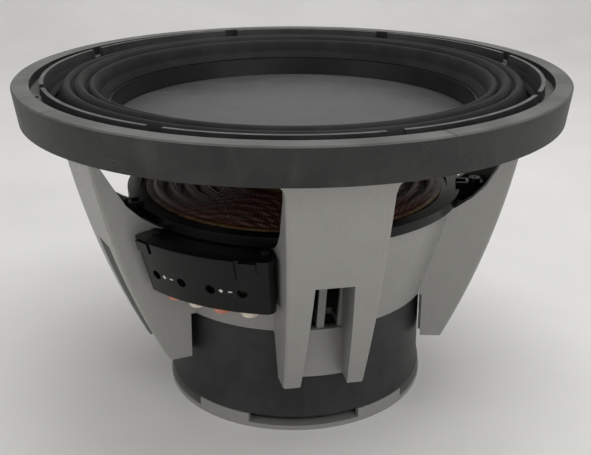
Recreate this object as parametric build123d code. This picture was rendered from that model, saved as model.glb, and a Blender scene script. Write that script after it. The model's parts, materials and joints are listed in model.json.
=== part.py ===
from build123d import *
import math
import os

# Car subwoofer speaker, 12 inch class, cone facing up.
# Origin: centre of the back cap's lower face. +Z runs along the speaker's axis towards the cone,
# and the terminal block faces -Y. An azimuth is measured from -Y towards +X, in degrees.
# All sizes are in millimetres.

# ---- driving dimensions ----
RIM_RADIUS = 165.0          # outer radius of the gasket's top edge
RIM_HEIGHT = 202.0          # top face of the gasket
FLANGE_UNDER = 181.7        # mounting face, which sits on the baffle
FLANGE_THICKNESS = 4.5
FLANGE_RADIUS = 161.0
FLANGE_INNER_RADIUS = 136.0
BOOT_RADIUS = 82.0          # rubber cover round the motor
SPOKE_COUNT = 5
SPOKE_FIRST_AZIMUTH = 36.0
MOUNT_COUNT = 8
MOUNT_CIRCLE_RADIUS = 152.6
MOUNT_HOLE_RADIUS = 2.6
CONE_EDGE_RADIUS = 111.5
CONE_EDGE_HEIGHT = 187.5
CAP_EDGE_RADIUS = 109.3
CAP_EDGE_HEIGHT = 174.9
CAP_RISE = 6.5
CAP_SKIN = 1.3
FORMER_RADIUS = 32.9        # outside of the voice coil's former
SPIDER_HEIGHT = 132.0
TERMINAL_HALF_ANGLE = 21.0
TERMINAL_COUNT = 4

# ---- heights of the motor's stack, from the base up ----
CAP_DISC = 3.0
CAP_TAB_TOP = 9.0
YOKE_TOP = 16.0
MAGNET_THICKNESS = 21.0
MAGNET_MID = YOKE_TOP + MAGNET_THICKNESS
MAGNET_TOP = MAGNET_MID + MAGNET_THICKNESS
TOP_PLATE_TOP = MAGNET_TOP + 12.0
BASKET_FLOOR_TOP = TOP_PLATE_TOP + 4.0
POLE_TOP = TOP_PLATE_TOP + 4.0

# ---- radii of the motor ----
MAGNET_RADIUS = 78.0
MAGNET_HOLE_RADIUS = 45.0
YOKE_RADIUS = 77.0
TOP_PLATE_RADIUS = 76.0
POLE_RADIUS = 31.0
VENT_RADIUS = 12.0
GAP_RADIUS = 37.0
COIL_HALF_HEIGHT = 18.0
COIL_THICKNESS = 3.2
COIL_CENTRE = (MAGNET_TOP + TOP_PLATE_TOP) / 2

# ---- basket ----
SKIRT_BOTTOM = 68.0
SKIRT_TOP = 127.5
SKIRT_TOP_RADIUS = 100.4
SKIRT_BOTTOM_RADIUS = 85.2
SKIRT_WALL = 3.0
FLOOR_EDGE_RADIUS = 83.5    # where the floor meets the inside of the skirt
FLOOR_HOLE_RADIUS = 42.0
SKIRT_OUTER = [             # radius and height along the skirt's outside, upwards
    (SKIRT_BOTTOM_RADIUS, SKIRT_BOTTOM),
    (92.6, 93.0),
    (98.8, 113.0),
    (SKIRT_TOP_RADIUS, 120.0),
    (SKIRT_TOP_RADIUS, SKIRT_TOP),
]
SKIRT_CLEARANCE = 0.6       # between the skirt and the terminal block on it
FOOT_BOTTOM = 38.5
FOOT_INNER_RADIUS = 84.0
FOOT_OUTER_RADIUS = 97.4
SPOKE_TOP_RADIUS = 139.5
SPOKE_WALL = 4.5
SPOKE_EDGE_RADIUS = 2.0
WINDOW_TOP = 176.5          # underside of the ring that drops through the baffle's cut-out
FLARE_RADIUS = 8.0
LEG_GAP_TOP = 113.5
LEG_GAP_HALF_BOTTOM = 13.9
LEG_GAP_HALF_TOP = 10.6
SLOT_REACH = 10.0           # from the middle of the spoke to a slot's far side
RIB_HALF_WIDTH = 2.2
LEDGE_TOP = 128.0
LEDGE_THICKNESS = 5.0
SPIDER_SCREW_RADIUS = 113.0
FRAME_SCREW_RADIUS = 60.0
CAP_SCREW_RADIUS = 66.0

# ---- suspension ----
SPIDER_RING_TOP = SPIDER_HEIGHT
SPIDER_OUTER_RADIUS = 93.0
SPIDER_WAVES = 5
SPIDER_WAVE_HEIGHT = 2.4
SPIDER_THICKNESS = 0.9
SPIDER_UNDER = SPIDER_HEIGHT + 0.1
SURROUND_THICKNESS = 1.5
TINSEL_THICKNESS = 0.8
TINSEL_DROP = 0.3           # a tinsel lead's clearance under the spider
LEAD_RADIUS = 1.0
LEAD_HEIGHT = 118.0         # where it passes out through the skirt
TINSEL_END = SPIDER_OUTER_RADIUS - 4.1
LEAD_DOWN_AT = TINSEL_END - 1.0  # where a lead wire runs down inside the skirt
SPIDER_RING_RADIUS = 104.5
SPIDER_RING_LIP = 1.6
CLAMP_RING_INNER = 147.0
CLAMP_RING_OUTER = 149.3
CHANNEL_FLOOR = 196.5
GASKET_TOP_WIDTH = 10.0

# ---- terminal block ----
BLOCK_BOTTOM = 92.5
BLOCK_TOP = 127.0
BLOCK_FRONT_BOTTOM_RADIUS = 113.4
BLOCK_FRONT_TOP_RADIUS = 122.6
BLOCK_SLOPE = (BLOCK_FRONT_TOP_RADIUS - BLOCK_FRONT_BOTTOM_RADIUS) / (BLOCK_TOP - BLOCK_BOTTOM)
BLOCK_LEAN = math.degrees(math.atan(BLOCK_SLOPE))
BLOCK_SIDE_GAP = 1.2        # between the block and the spokes beside it
COVER_THICKNESS = 2.4
WIRE_PITCH_ANGLE = 9.05
WIRE_MIDDLE_AZIMUTH = -1.1  # the row of wire holes sits a little to one side of the block
BLOCK_CORNER_RADIUS = 5.0
WIRE_HOLE_RADIUS = 2.9
BUTTON_CENTRE_RADIUS = 103.2  # where a button's axis meets the block's underside
BUTTON_RADIUS = 5.9
BUTTON_BORE_RADIUS = 6.2
BUTTON_TRAVEL = 2.5

PLATE_BOTTOM = 114.0
PLATE_PROUD = 0.9
PLATE_HALF_ANGLE = 12.3
PLATE_MIDDLE_AZIMUTH = -1.0
LATCH_BOTTOM = 119.5
LATCH_TOP = 126.0
LATCH_PROUD = 1.3
LATCH_ANGLE = 4.4
LATCH_OFFSET = 15.6         # azimuth from the plate's middle to a latch's
MARK_HEIGHT = 106.0
MARK_PROUD = 0.4
BLOCK_SCREW_AT = 110.0
BLOCK_SCREW_AZIMUTHS = (-18.2, 18.2)
BLOCK_SCREW_LENGTH = 9.0
BLOCK_SCREW_SHANK = 1.4

# ---- along a button's axis, which leans with the block's front, from the block's underside ----
BUTTON_OUT = 5.0
BUTTON_LENGTH = 25.7
BORE_DEPTH = 29.0
WIRE_HOLE_ALONG = 16.1
SPRING_RADIUS = 3.6
CONTACT_START = 4.0
CONTACT_LENGTH = 18.0
CONTACT_THICKNESS = 0.8

PARTS = "parts"


def save(name, shape):
    """Writes one sub-part, or a group of alike pieces, to its own file."""
    export_step(shape, os.path.join(PARTS, name + ".step"))


def turned(shape, azimuth):
    """Turns a shape that was built facing +X to the given azimuth."""
    return Rot(0, 0, azimuth - 90) * shape


def leaning(shape, azimuth):
    """Places a shape built along +Z, with +X to the front, on a button's leaning axis."""
    return turned(Pos(BUTTON_CENTRE_RADIUS, 0, BLOCK_BOTTOM) * Rot(0, BLOCK_LEAN, 0) * shape, azimuth)


def around(shape, count, first):
    """Copies a shape that was built facing +X to evenly spaced azimuths."""
    return [turned(shape, first + 360 / count * i) for i in range(count)]


def tube(inner, outer, bottom, top):
    """A ring or disc on the speaker's axis."""
    height = top - bottom
    body = Pos(0, 0, bottom) * Cylinder(outer, height, align=(Align.CENTER, Align.CENTER, Align.MIN))
    if inner > 0:
        body -= Pos(0, 0, bottom) * Cylinder(inner, height, align=(Align.CENTER, Align.CENTER, Align.MIN))
    return body


def turned_profile(points, arc=360.0):
    """A polygon of (radius, height) points, turned about the axis; part turns are centred on +X."""
    face = Plane.XZ * make_face(Polyline(*points, close=True))
    return Rot(0, 0, -arc / 2) * revolve(face, axis=Axis.Z, revolution_arc=arc)


def raised_skin(underside, thickness, arc=360.0):
    """A sheet between edges drawn as (radius, height) and their copy higher up, turned about the axis."""
    top = [Pos(0, thickness) * edge for edge in underside]
    ends = [Line(underside[0] @ 0, top[0] @ 0), Line(underside[-1] @ 1, top[-1] @ 1)]
    face = Plane.XZ * make_face([*underside, *top, *ends])
    return Rot(0, 0, -arc / 2) * revolve(face, axis=Axis.Z, revolution_arc=arc)


def upright(radius, bottom, top, at):
    """A vertical cylinder whose axis stands at (at, 0)."""
    return Pos(at, 0, bottom) * Cylinder(radius, top - bottom, align=(Align.CENTER, Align.CENTER, Align.MIN))


def radial_pin(radius, inner, outer, height):
    """A cylinder along +X between two radii."""
    return Pos(inner, 0, height) * Rot(0, 90, 0) * Cylinder(
        radius, outer - inner, align=(Align.CENTER, Align.CENTER, Align.MIN))


def screw(at, head_bottom, length, shank=1.8, head=3.6, head_height=2.2):
    """A pan-head screw pointing down, with a cross recess in its head."""
    body = upright(shank, head_bottom - length, head_bottom, at)
    body += upright(head, head_bottom, head_bottom + head_height, at)
    for turn in (0, 90):
        slot = Box(head * 1.2, 0.7, 1.6, align=(Align.CENTER, Align.CENTER, Align.MAX))
        body -= Pos(at, 0, head_bottom + head_height) * Rot(0, 0, turn) * slot
    return body


# ---- basket: flange, skirt, floor and forked spokes, one casting ----

def spoke_face_arc():
    """The spoke's outer face seen from the side, from the flange down to the foot."""
    return ThreePointArc((SPOKE_TOP_RADIUS, FLANGE_UNDER), (120.9, 98.0), (FOOT_OUTER_RADIUS, FOOT_BOTTOM))


def spoke_half_width(radius, height):
    """Half of the spoke's width: it narrows downwards, and its sides have 5 degrees of draft."""
    return 16.4 + 0.0614 * height + (150.0 - radius) * math.tan(math.radians(5.0))


def side_walls(inset, bottom, top):
    """The space between the spoke's two side planes, moved in by inset."""
    sections = []
    for radius in (150.0, 80.0):
        low = spoke_half_width(radius, bottom) - inset
        high = spoke_half_width(radius, top) - inset
        outline = Polyline((-low, bottom), (low, bottom), (high, top), (-high, top), close=True)
        sections.append(Plane.YZ.offset(radius) * make_face(outline))
    return loft(sections)


def between_face_and(inner_line, width=90.0):
    """A slab across the spoke between its outer face and an inner line, both seen from the side."""
    arc = spoke_face_arc()
    inner = Polyline(arc @ 1, *inner_line, arc @ 0)
    face = Plane.XZ * make_face([arc, *inner.edges()])
    return extrude(face, amount=width / 2, both=True)


def spoke_block():
    """The spoke before it is hollowed, cut to its arched inner edge."""
    inner_line = [
        (FOOT_INNER_RADIUS, FOOT_BOTTOM),
        (FOOT_INNER_RADIUS, SKIRT_BOTTOM),
        (SKIRT_BOTTOM_RADIUS - 2 * SKIRT_WALL, SKIRT_BOTTOM),
        (SKIRT_TOP_RADIUS - 3 * SKIRT_WALL, 120.0),
        (SKIRT_TOP_RADIUS - 3 * SKIRT_WALL, SKIRT_TOP),
        (SKIRT_TOP_RADIUS + 0.6, SKIRT_TOP),
        (111.0, 134.5),
        (118.6, 142.5),
        (125.0, 154.0),
        (131.7, 166.5),
        (134.8, FLANGE_UNDER),
    ]
    block = between_face_and(inner_line) & side_walls(0.0, FOOT_BOTTOM - 2.0, FLANGE_UNDER + 2.0)
    corners = block.edges().filter_by(lambda e: e.center().X > 100 and e.length > 100)
    return fillet(corners, SPOKE_EDGE_RADIUS) + spoke_flare(inner_line)


def spoke_flare(inner_line):
    """The spoke's rounded spread into the ring under the flange."""
    half = spoke_half_width(SPOKE_TOP_RADIUS, WINDOW_TOP) - 0.3
    low = WINDOW_TOP - FLARE_RADIUS
    edges = []
    for side in (-1, 1):
        start = (side * half, low)
        end = (side * (half + FLARE_RADIUS), WINDOW_TOP)
        eighth = math.sqrt(0.5)
        middle = (side * (half + FLARE_RADIUS * (1 - eighth)), low + FLARE_RADIUS * eighth)
        edges.append(ThreePointArc(start, middle, end))
    edges.append(Line(edges[0] @ 0, edges[1] @ 0))
    edges.append(Line(edges[0] @ 1, edges[1] @ 1))
    return extrude(Plane.YZ.offset(110.0) * make_face(edges), amount=40.0) & between_face_and(inner_line)


def spoke_pocket():
    """The hollow behind the spoke's outer wall, open towards the axis above the ledge."""
    hollow = extrude(
        Plane.XZ * make_face(Polyline(
            (90.0, LEDGE_TOP), (124.6, LEDGE_TOP), (130.4, 155.0), (133.6, 177.0), (90.0, 177.0), close=True)),
        amount=45.0, both=True)
    return hollow & side_walls(SPOKE_WALL, LEDGE_TOP - 1.0, 178.0)


def leg_gap():
    """The space between the spoke's two legs, and its hollow up to the ledge."""
    bottom = FOOT_BOTTOM - 5.0
    outline = Polyline(
        (-LEG_GAP_HALF_BOTTOM, bottom),
        (LEG_GAP_HALF_BOTTOM, bottom),
        (LEG_GAP_HALF_TOP, LEG_GAP_TOP),
        (-LEG_GAP_HALF_TOP, LEG_GAP_TOP),
        close=True)
    open_part = extrude(Plane.YZ.offset(70.0) * make_face(outline), amount=90.0)
    height = LEDGE_TOP - LEDGE_THICKNESS - LEG_GAP_TOP + 2.0
    hidden = Pos(70.0, 0, LEG_GAP_TOP - 2.0) * Box(50.0, 21.0, height, align=(Align.MIN, Align.CENTER, Align.MIN))
    return open_part + hidden


def skirt_slots():
    """Two slots through the skirt behind each spoke, either side of a rib."""
    bottom = SKIRT_BOTTOM + 1.6
    height = LEG_GAP_TOP - 4.0 - bottom
    width = SLOT_REACH - RIB_HALF_WIDTH
    slot = Box(40.0, width, height, align=(Align.CENTER, Align.MIN, Align.MIN))
    slots = Pos(90.0, RIB_HALF_WIDTH, bottom) * slot
    return slots + mirror(slots, about=Plane.XZ)


def funnel():
    """The skirt before it is hollowed, from the motor seat up to the spider's ring."""
    return turned_profile([(0.0, SKIRT_BOTTOM), *SKIRT_OUTER, (0.0, SKIRT_TOP)])


def funnel_inside():
    """The hollow inside the skirt, over its floor."""
    wall = [(r - SKIRT_WALL, z) for r, z in SKIRT_OUTER[1:-1]]
    top = SKIRT_TOP + 1.0
    return turned_profile([
        (0.0, BASKET_FLOOR_TOP), (FLOOR_EDGE_RADIUS, BASKET_FLOOR_TOP), *wall, (wall[-1][0], top), (0.0, top)])


def web_panel():
    """The short curved wall that closes the gap between the legs against the boot."""
    shell = tube(FOOT_INNER_RADIUS, FOOT_INNER_RADIUS + 2.6, FOOT_BOTTOM, SKIRT_BOTTOM + 1.0)
    return shell & (Pos(90.0, 0, 60.0) * Box(30.0, 32.0, 80.0))


def basket():
    """The whole casting."""
    flange_top = FLANGE_UNDER + FLANGE_THICKNESS
    flange = tube(FLANGE_INNER_RADIUS, FLANGE_RADIUS, FLANGE_UNDER, flange_top)
    flange += tube(FLANGE_INNER_RADIUS, SPOKE_TOP_RADIUS - 0.5, WINDOW_TOP, flange_top)
    one_spoke = spoke_block() - spoke_pocket() - leg_gap()
    body = flange + funnel()
    body += around(one_spoke + web_panel(), SPOKE_COUNT, SPOKE_FIRST_AZIMUTH)
    body -= funnel_inside()
    body -= around(skirt_slots(), SPOKE_COUNT, SPOKE_FIRST_AZIMUTH)
    body -= tube(0.0, SKIRT_BOTTOM_RADIUS - SKIRT_WALL, 0.0, TOP_PLATE_TOP)
    body -= tube(0.0, FLOOR_HOLE_RADIUS, TOP_PLATE_TOP - 1.0, BASKET_FLOOR_TOP + 1.0)
    holes = around(upright(MOUNT_HOLE_RADIUS, FLANGE_UNDER - 1, flange_top + 1, MOUNT_CIRCLE_RADIUS), MOUNT_COUNT, 0)
    body -= holes
    ledge_holes = upright(1.8, LEDGE_TOP - LEDGE_THICKNESS - 1, LEDGE_TOP + 1, SPIDER_SCREW_RADIUS)
    body -= around(ledge_holes, SPOKE_COUNT, SPOKE_FIRST_AZIMUTH)
    body -= around(upright(2.5, TOP_PLATE_TOP - 1, BASKET_FLOOR_TOP + 1, FRAME_SCREW_RADIUS), SPOKE_COUNT, 0)
    for azimuth in wire_azimuths():
        body -= turned(radial_pin(LEAD_RADIUS + 0.4, LEAD_DOWN_AT, SKIRT_TOP_RADIUS + 2.0, LEAD_HEIGHT), azimuth)
    return body


# ---- rim: gasket and surround clamp ring ----

def mounting_gasket():
    """The rubber ring that covers the flange, with the screw channel in its top."""
    flange_top = FLANGE_UNDER + FLANGE_THICKNESS
    channel_outer = RIM_RADIUS - GASKET_TOP_WIDTH
    outline = [
        (CLAMP_RING_OUTER + 0.2, flange_top),
        (FLANGE_RADIUS + 0.1, flange_top),
        (FLANGE_RADIUS + 0.1, FLANGE_UNDER),
        (RIM_RADIUS - 2.4, FLANGE_UNDER),
        (RIM_RADIUS, RIM_HEIGHT - 0.8),
        (RIM_RADIUS - 0.8, RIM_HEIGHT),
        (channel_outer, RIM_HEIGHT),
        (channel_outer, CHANNEL_FLOOR),
        (CLAMP_RING_OUTER + 0.2, CHANNEL_FLOOR),
    ]
    body = turned_profile(outline)
    hole = upright(MOUNT_HOLE_RADIUS, flange_top - 1, CHANNEL_FLOOR + 1, MOUNT_CIRCLE_RADIUS)
    return body - around(hole, MOUNT_COUNT, 0)


def surround_clamp_ring():
    """The thin upright ring that holds the surround's edge, notched beside each mounting hole."""
    base = FLANGE_UNDER + FLANGE_THICKNESS + SURROUND_THICKNESS + 0.3
    outline = [
        (143.4, base),
        (CLAMP_RING_OUTER, base),
        (CLAMP_RING_OUTER, RIM_HEIGHT + 0.6),
        (CLAMP_RING_INNER, RIM_HEIGHT + 0.6),
        (146.2, 197.0),
        (144.9, 192.5),
        (143.4, 189.6),
    ]
    notch = Pos(CLAMP_RING_INNER, 0, RIM_HEIGHT - 1.9) * Box(12.0, 9.2, 8.0)
    return turned_profile(outline) - around(notch, MOUNT_COUNT, 0)


# ---- suspension ----

def surround():
    """Rubber edge: a flat land under the clamp ring, a deep outer valley and three rolls."""
    land = FLANGE_UNDER + FLANGE_THICKNESS + 0.1
    crest = RIM_HEIGHT - SURROUND_THICKNESS
    flat = Line((149.0, land), (141.5, land))
    rolls = Spline(
        (141.5, land),
        (138.5, land + 1.0),
        (134.6, 193.0),
        (130.2, crest),
        (126.8, crest - 5.0),
        (122.8, crest - 3.0),
        (118.4, crest - 10.0),
        (114.8, crest - 9.5),
        (CONE_EDGE_RADIUS, CONE_EDGE_HEIGHT + 0.1),
    )
    return raised_skin([flat, rolls], SURROUND_THICKNESS)


def spider_line(height, outer=SPIDER_OUTER_RADIUS):
    """The spider's corrugations seen from the side, with a flat land at each edge."""
    inner = FORMER_RADIUS + 0.6
    start = inner + 3.5
    end = SPIDER_OUTER_RADIUS - 4.5
    half_waves = 2 * SPIDER_WAVES + 1
    pitch = (end - start) / half_waves
    edges = [Line((inner, height), (start, height))]
    for i in range(half_waves):
        left = start + pitch * i
        crest = height + (SPIDER_WAVE_HEIGHT if i % 2 == 0 else -SPIDER_WAVE_HEIGHT)
        edges.append(ThreePointArc((left, height), (left + pitch / 2, crest), (left + pitch, height)))
    edges.append(Line((end, height), (outer, height)))
    return edges


def spider():
    """Woven suspension between the former and the spider's ring."""
    return raised_skin(spider_line(SPIDER_UNDER), SPIDER_THICKNESS)


def spider_ring():
    """Ring that carries the spider's edge, with an ear in each spoke."""
    bottom = LEDGE_TOP
    top = SPIDER_RING_TOP
    body = tube(SPIDER_OUTER_RADIUS - 3.5, SPIDER_RING_RADIUS, bottom, top)
    body += tube(SPIDER_OUTER_RADIUS + 3.2, SPIDER_RING_RADIUS, top - 0.5, top + SPIDER_RING_LIP)
    plate = Box(15.5, 30.0, top - bottom, align=(Align.MIN, Align.CENTER, Align.MIN))
    ear = Pos(SPIDER_RING_RADIUS - 1.5, 0, bottom) * plate
    ear += upright(5.6, bottom, top + 4.0, SPIDER_SCREW_RADIUS)
    for side in (-1, 1):
        rib = Box(10.0, 1.8, 4.0, align=(Align.MIN, Align.CENTER, Align.MIN))
        ear += Pos(101.5, side * 4.2, top - 0.2) * rib
    ear -= upright(2.0, bottom - 1, top + 5.0, SPIDER_SCREW_RADIUS)
    return body + around(ear, SPOKE_COUNT, SPOKE_FIRST_AZIMUTH)


# ---- moving assembly ----

def cone():
    """Dish-shaped cone with a steep outer wall."""
    outline = [
        (FORMER_RADIUS + 0.1, 147.5),
        (70.0, 157.8),
        (105.6, 169.6),
        (111.2, 174.6),
        (CONE_EDGE_RADIUS + 0.8, CONE_EDGE_HEIGHT),
        (CONE_EDGE_RADIUS - 1.2, CONE_EDGE_HEIGHT),
        (109.8, 174.8),
        (105.2, 171.7),
        (70.0, 160.2),
        (FORMER_RADIUS + 0.1, 150.0),
    ]
    return turned_profile(outline)


def dust_cap():
    """Wide shallow dome glued inside the cone's wall."""
    sphere_radius = (CAP_EDGE_RADIUS ** 2 + CAP_RISE ** 2) / (2 * CAP_RISE)
    sphere = Pos(0, 0, CAP_EDGE_HEIGHT + CAP_RISE - sphere_radius) * Sphere(sphere_radius)
    shell = Pos(0, 0, CAP_SKIN) * sphere - sphere
    return shell & tube(0.0, CAP_EDGE_RADIUS, CAP_EDGE_HEIGHT, CAP_EDGE_HEIGHT + 2 * CAP_RISE)


# ---- terminal block ----

def block_front(height):
    """Radius of the block's sloping front at a height."""
    return BLOCK_FRONT_BOTTOM_RADIUS + BLOCK_SLOPE * (height - BLOCK_BOTTOM)


def wire_azimuths():
    """Azimuths of the four wire holes, evenly spaced."""
    middle = (TERMINAL_COUNT - 1) / 2
    return [WIRE_MIDDLE_AZIMUTH + WIRE_PITCH_ANGLE * (i - middle) for i in range(TERMINAL_COUNT)]


def clear_of_spokes(body):
    """Trims the block's sides to leave a gap beside each of the two spokes."""
    for side in (-1, 1):
        spoke_space = side_walls(-BLOCK_SIDE_GAP, BLOCK_BOTTOM - 5.0, BLOCK_TOP + 5.0)
        body -= turned(spoke_space, side * SPOKE_FIRST_AZIMUTH)
    return body


def along_axis(radius, start, end):
    """A cylinder on a button's own axis."""
    return Pos(0, 0, start) * Cylinder(radius, end - start, align=(Align.CENTER, Align.CENTER, Align.MIN))


def wire_hole():
    """The hole from a button's bore out through the block's front."""
    return radial_pin(WIRE_HOLE_RADIUS, 0.0, 20.0, WIRE_HOLE_ALONG)


def contact_plate():
    """Flat contact that stands in a slot behind the button."""
    place = Pos(-BUTTON_BORE_RADIUS, 0, CONTACT_START)
    return place * Box(CONTACT_THICKNESS, 4.0, CONTACT_LENGTH, align=(Align.MAX, Align.CENTER, Align.MIN))


def terminal_block():
    """Outside of the whole block, cover included, with rounded front corners."""
    rear = [(r + SKIRT_CLEARANCE, z) for r, z in SKIRT_OUTER[1:4]]
    outline = [
        (rear[0][0], BLOCK_BOTTOM),
        (BLOCK_FRONT_BOTTOM_RADIUS, BLOCK_BOTTOM),
        (BLOCK_FRONT_TOP_RADIUS, BLOCK_TOP),
        (rear[2][0], BLOCK_TOP),
        *reversed(rear[1:]),
    ]
    body = clear_of_spokes(turned(turned_profile(outline, 2 * TERMINAL_HALF_ANGLE), 0))
    corners = body.edges().filter_by(is_front_corner)
    return fillet(corners, BLOCK_CORNER_RADIUS)


def is_front_corner(edge):
    """True for the two leaning edges where the block's front meets its sides."""
    ends = [edge @ 0, edge @ 1]
    leans = abs(ends[0].Z - ends[1].Z) > 0.9 * (BLOCK_TOP - BLOCK_BOTTOM)
    return leans and min(math.hypot(end.X, end.Y) for end in ends) > BLOCK_FRONT_BOTTOM_RADIUS - 1.0


def cover_space():
    """The conical layer at the block's front that the cover takes."""
    low = BLOCK_BOTTOM - 1.0
    high = BLOCK_TOP + 1.0
    inner = [(block_front(z) - COVER_THICKNESS, z) for z in (low, high)]
    return turned_profile([*inner, (BLOCK_FRONT_TOP_RADIUS + 10.0, high), (BLOCK_FRONT_TOP_RADIUS + 10.0, low)])


def terminal_housing():
    """Plastic body with a bore for each button and a hole for each wire."""
    body = terminal_block() - cover_space()
    hollow = along_axis(BUTTON_BORE_RADIUS, -BUTTON_OUT - 1.0, BORE_DEPTH) + wire_hole() + contact_plate()
    for azimuth in wire_azimuths():
        body -= leaning(hollow, azimuth)
    for azimuth in BLOCK_SCREW_AZIMUTHS:
        screw_hole = upright(BLOCK_SCREW_SHANK + 0.1, BLOCK_TOP - BLOCK_SCREW_LENGTH - 1, BLOCK_TOP + 1, BLOCK_SCREW_AT)
        body -= turned(screw_hole, azimuth)
    return body


def on_block_front(bottom, top, proud, arc, middle):
    """A raised patch that follows the block's sloping front between two heights."""
    outline = [
        (block_front(bottom), bottom),
        (block_front(bottom) + proud, bottom),
        (block_front(top) + proud, top),
        (block_front(top), top),
    ]
    return turned(turned_profile(outline, arc), middle)


def terminal_cover():
    """Sloping front plate with a raised blank plate and a hole for each wire."""
    body = terminal_block() & cover_space()
    body += on_block_front(PLATE_BOTTOM, BLOCK_TOP - 0.4, PLATE_PROUD, 2 * PLATE_HALF_ANGLE, PLATE_MIDDLE_AZIMUTH)
    for azimuth in wire_azimuths():
        body -= leaning(wire_hole(), azimuth)
    return body


def push_button():
    """Round button with an open throat for the wire, built on its own axis."""
    body = along_axis(BUTTON_RADIUS, -BUTTON_OUT, BUTTON_LENGTH - BUTTON_OUT)
    body = fillet(body.edges().group_by(Axis.Z)[0], 1.2)
    bottom = WIRE_HOLE_ALONG - WIRE_HOLE_RADIUS - BUTTON_TRAVEL - 0.4
    top = WIRE_HOLE_ALONG + WIRE_HOLE_RADIUS + 0.4
    throat = Box(10.0, 2 * WIRE_HOLE_RADIUS + 0.6, top - bottom, align=(Align.MIN, Align.CENTER, Align.MIN))
    return body - Pos(-2.0, 0, bottom) * throat


def button_spring():
    """Outer shape of the coil spring behind a button."""
    start = BUTTON_LENGTH - BUTTON_OUT
    return along_axis(SPRING_RADIUS, start, BORE_DEPTH) - along_axis(SPRING_RADIUS - 1.0, start, BORE_DEPTH)


def polarity_marks():
    """A raised plus and a raised minus between each pair of wire holes."""
    marks = []
    for pair in (-1, 1):
        pair_middle = WIRE_MIDDLE_AZIMUTH + pair * WIRE_PITCH_ANGLE
        plus = pair_middle - 1.3
        minus = pair_middle + 1.3
        for middle in (plus, minus):
            marks.append(on_block_front(MARK_HEIGHT - 0.35, MARK_HEIGHT + 0.35, MARK_PROUD, 1.1, middle))
        marks[-2] += on_block_front(MARK_HEIGHT - 1.1, MARK_HEIGHT + 1.1, MARK_PROUD, 0.35, plus)
    return marks


def tinsel_lead():
    """Flat braided lead that follows the underside of the spider."""
    underside = spider_line(SPIDER_UNDER - TINSEL_DROP - TINSEL_THICKNESS, outer=TINSEL_END)
    return raised_skin(underside, TINSEL_THICKNESS, arc=2.6)


def lead_wire():
    """Insulated wire from a tinsel lead's end, down inside the skirt and out through it to the block."""
    top = SPIDER_UNDER - TINSEL_DROP - TINSEL_THICKNESS - 0.2
    path = FilletPolyline(
        (LEAD_DOWN_AT, 0, top),
        (LEAD_DOWN_AT, 0, LEAD_HEIGHT),
        (SKIRT_TOP_RADIUS - 0.2, 0, LEAD_HEIGHT),
        radius=3.0)
    section = Plane(path @ 0, z_dir=path % 0) * Circle(LEAD_RADIUS)
    return sweep(section, path=path)


def build():
    """Writes every sub-part."""
    os.makedirs(PARTS, exist_ok=True)
    save("basket", basket())
    save("mounting_gasket", mounting_gasket())
    save("surround_clamp_ring", surround_clamp_ring())
    save("surround", surround())
    save("spider", spider())
    save("spider_ring", spider_ring())
    save("spider_ring_screws", Compound(children=around(
        screw(SPIDER_SCREW_RADIUS, SPIDER_RING_TOP + 4.0, 12.0), SPOKE_COUNT, SPOKE_FIRST_AZIMUTH)))
    build_motor()
    build_moving_assembly()
    build_terminals()


def build_motor():
    """Yoke, magnets, top plate, covers and their fasteners."""
    save("top_plate", tube(GAP_RADIUS, TOP_PLATE_RADIUS, MAGNET_TOP, TOP_PLATE_TOP)
         - around(upright(2.0, MAGNET_TOP + 4, TOP_PLATE_TOP + 1, FRAME_SCREW_RADIUS), SPOKE_COUNT, 0))
    save("magnet_upper", tube(MAGNET_HOLE_RADIUS, MAGNET_RADIUS, MAGNET_MID, MAGNET_TOP))
    save("magnet_lower", tube(MAGNET_HOLE_RADIUS, MAGNET_RADIUS, YOKE_TOP, MAGNET_MID))
    yoke = tube(VENT_RADIUS, YOKE_RADIUS, CAP_DISC, YOKE_TOP) + tube(VENT_RADIUS, POLE_RADIUS, CAP_DISC, POLE_TOP)
    yoke -= tube(0.0, VENT_RADIUS + 2.5, CAP_DISC - 1, CAP_DISC + 2.0)
    screw_bore = upright(2.0, CAP_DISC - 1, CAP_DISC + 9.0, CAP_SCREW_RADIUS)
    save("yoke", yoke - around(screw_bore, SPOKE_COUNT, 0))
    save("shorting_ring", tube(POLE_RADIUS, POLE_RADIUS + 0.9, MAGNET_MID, POLE_TOP - 1.0))
    save("vent_screen", vent_screen())
    boot = [
        (MAGNET_RADIUS + 1.0, CAP_TAB_TOP),
        (BOOT_RADIUS + 1.4, CAP_TAB_TOP),
        (BOOT_RADIUS + 0.5, 14.0),
        (BOOT_RADIUS, 19.0),
        (BOOT_RADIUS, TOP_PLATE_TOP - 0.4),
        (MAGNET_RADIUS + 1.0, TOP_PLATE_TOP - 0.4),
    ]
    save("magnet_boot", turned_profile(boot))
    save("back_cap", back_cap())
    cap_screw = mirror(screw(CAP_SCREW_RADIUS, 0.0, 9.0, shank=1.9, head=3.4, head_height=1.6), about=Plane.XY)
    save("back_cap_screws", Compound(children=around(Pos(0, 0, 1.8) * cap_screw, SPOKE_COUNT, 0)))
    frame_screw = screw(FRAME_SCREW_RADIUS, BASKET_FLOOR_TOP, 11.0, shank=1.9, head=4.0, head_height=2.8)
    save("frame_screws", Compound(children=around(frame_screw, SPOKE_COUNT, 0)))


def vent_screen():
    """Perforated disc over the mouth of the pole's vent."""
    disc = tube(0.0, VENT_RADIUS + 2.4, CAP_DISC + 0.8, CAP_DISC + 2.0)
    for count, radius in ((1, 0.0), (6, 4.0), (12, 8.0)):
        disc -= around(upright(1.3, CAP_DISC, CAP_DISC + 3.0, radius), count, 0)
    return disc


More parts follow.
